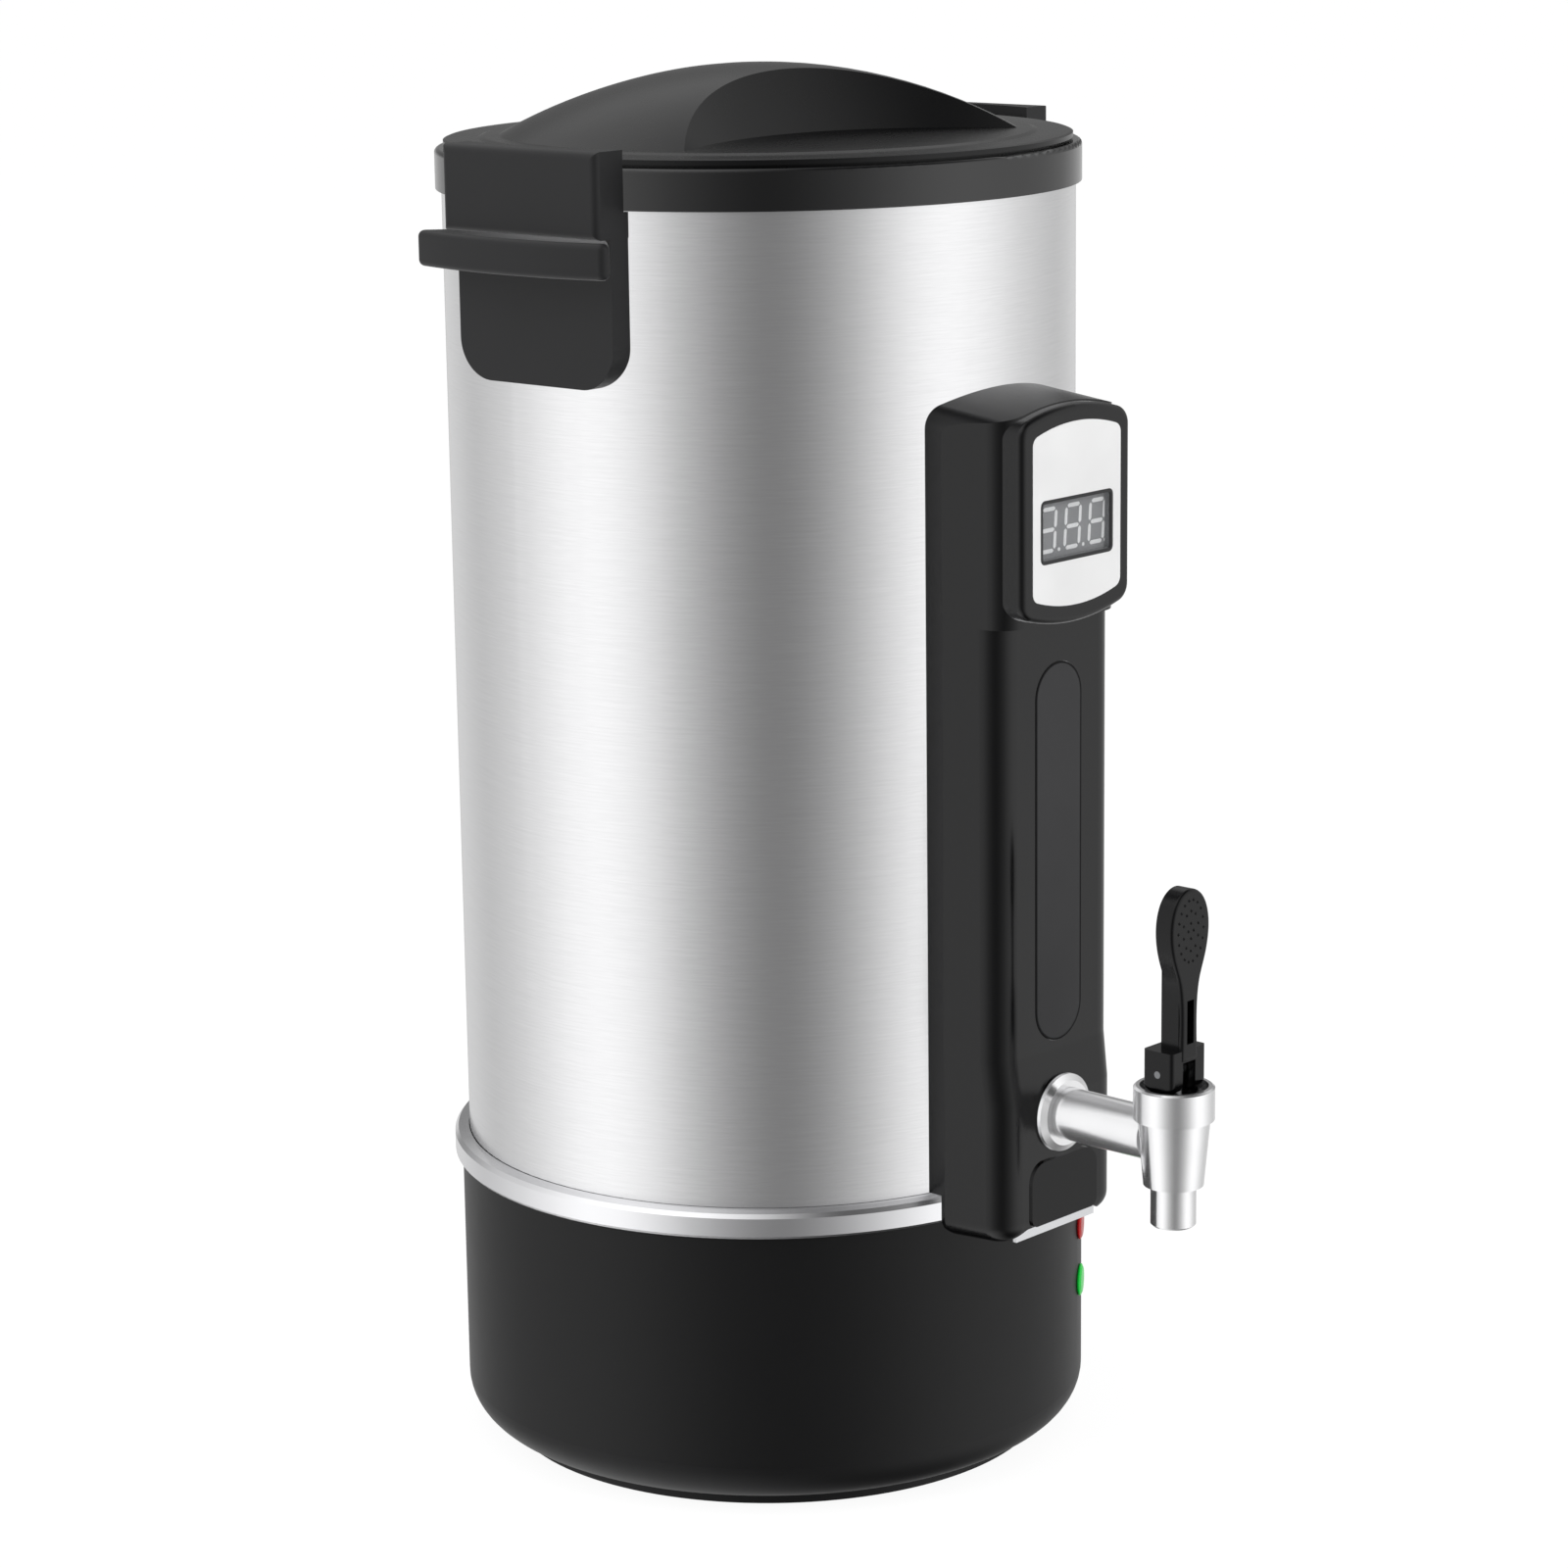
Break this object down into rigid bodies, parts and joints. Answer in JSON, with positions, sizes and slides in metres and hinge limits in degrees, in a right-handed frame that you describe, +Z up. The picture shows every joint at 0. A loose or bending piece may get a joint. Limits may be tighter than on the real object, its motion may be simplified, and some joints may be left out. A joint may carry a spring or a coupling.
{
  "type": "candle wax melter",
  "caption": "Round heated urn that melts candle wax: steel wall, black base, lid and side handles, a display column and a lever tap.",
  "frame": {"origin": "centre of the underside, on the surface it stands on", "axes": "+Z up; the tap and display column face -Y; the side handles lie near +X and -X"},
  "size_m": [0.261, 0.3158, 0.4904],
  "materials": {
    "satin_black": "satin black moulded plastic",
    "gloss_black": "gloss black moulded plastic",
    "handle_black": "satin black moulded plastic",
    "lid_black": "half gloss black moulded plastic",
    "lever_black": "black moulded plastic",
    "inlay_grey": "dark grey fine grained plastic",
    "label_white": "white printed sheet",
    "smoked_window": "smoked clear plastic",
    "digit_grey": "grey display face",
    "board_green": "green circuit board",
    "brushed_wall": "fine brushed stainless steel",
    "pot_metal": "satin stainless steel",
    "bright_metal": "polished steel",
    "chromed": "chromed brass",
    "zinc_steel": "zinc plated steel",
    "cast_aluminium": "cast aluminium",
    "sheath_metal": "oxidised steel sheath",
    "brass_plain": "plain brass",
    "bakelite": "dark heat resistant plastic",
    "nylon_white": "natural nylon",
    "felt_white": "pressed ceramic felt",
    "silicone_white": "silicone rubber",
    "rubber_grey": "grey rubber",
    "lens_red": "clear red plastic",
    "lens_green": "clear green plastic"
  },
  "bodies": {
    "housing": {"base_tub": "satin_black", "bottom_cover": "satin_black", "anti_slip_pads": "rubber_grey", "cover_screws": "zinc_steel", "trim_ring": "bright_metal", "outer_shell": "brushed_wall", "inner_pot": "pot_metal", "insulation_sleeve": "felt_white", "rim_collar": "gloss_black", "heater_plate": "cast_aluminium", "heating_element": "sheath_metal", "element_retainer": "zinc_steel", "retainer_nut": "zinc_steel", "thermal_cutout": "bakelite", "temperature_probe": "bright_metal", "right_handle": "handle_black", "left_handle": "handle_black", "handle_screws": "zinc_steel", "panel_housing": "satin_black", "panel_screws": "zinc_steel", "label_plate": "label_white", "display_window": "smoked_window", "display_module": "digit_grey", "display_board": "board_green", "board_screws": "zinc_steel", "grip_inlay": "inlay_grey", "screw_cover": "gloss_black", "panel_bracket": "bright_metal", "bracket_screw": "zinc_steel", "tap_gaskets": "silicone_white", "tap_nut": "bright_metal", "tap_spacer": "bakelite", "tap_escutcheon": "chromed", "tap_pipe": "chromed", "tap_body": "chromed", "tap_nozzle": "chromed", "tap_bonnet": "lever_black", "stem_spring": "bright_metal", "thermostat_body": "bakelite", "thermostat_screws": "zinc_steel", "dial_plate": "label_white", "red_lamp_lens": "lens_red", "green_lamp_lens": "lens_green", "lamp_holders": "nylon_white", "power_inlet": "satin_black", "inlet_pins": "brass_plain", "inlet_screws": "zinc_steel", "terminal_block": "nylon_white"},
    "lid": {"lid_shell": "lid_black", "lid_liner": "pot_metal", "lid_gasket": "silicone_white", "lid_screws": "zinc_steel"},
    "valve_stem": {"tap_stem": "bright_metal", "seat_cup": "silicone_white", "lever_pin": "bright_metal"},
    "lever": {"tap_lever": "lever_black"},
    "knob": {"control_knob": "satin_black", "thermostat_shaft": "bright_metal"}
  },
  "joints": [
    {"name": "lid_lift", "type": "slide", "parent": "housing", "child": "lid", "axis": [0, 0, 1], "range_m": [0, 0.12]},
    {"name": "stem_lift", "type": "slide", "parent": "housing", "child": "valve_stem", "axis": [0, 0, 1], "range_m": [0, 0.0031], "deforming": ["stem_spring"]},
    {"name": "lever_tilt", "type": "hinge", "parent": "valve_stem", "child": "lever", "pos_m": [0, -0.184, 0.164], "axis": [1, 0, 0], "range_deg": [0, 60], "stiffness_Nm_per_rad": 0.0074, "springref_deg": -80.21},
    {"name": "knob_turn", "type": "hinge", "parent": "housing", "child": "knob", "pos_m": [0.115, 0, 0.052], "axis": [-1, 0, 0], "range_deg": [0, 270]}
  ],
  "couplings": [
    {"joint": "stem_lift", "follows": "lever_tilt", "m_per_rad": 0.00287}
  ]
}
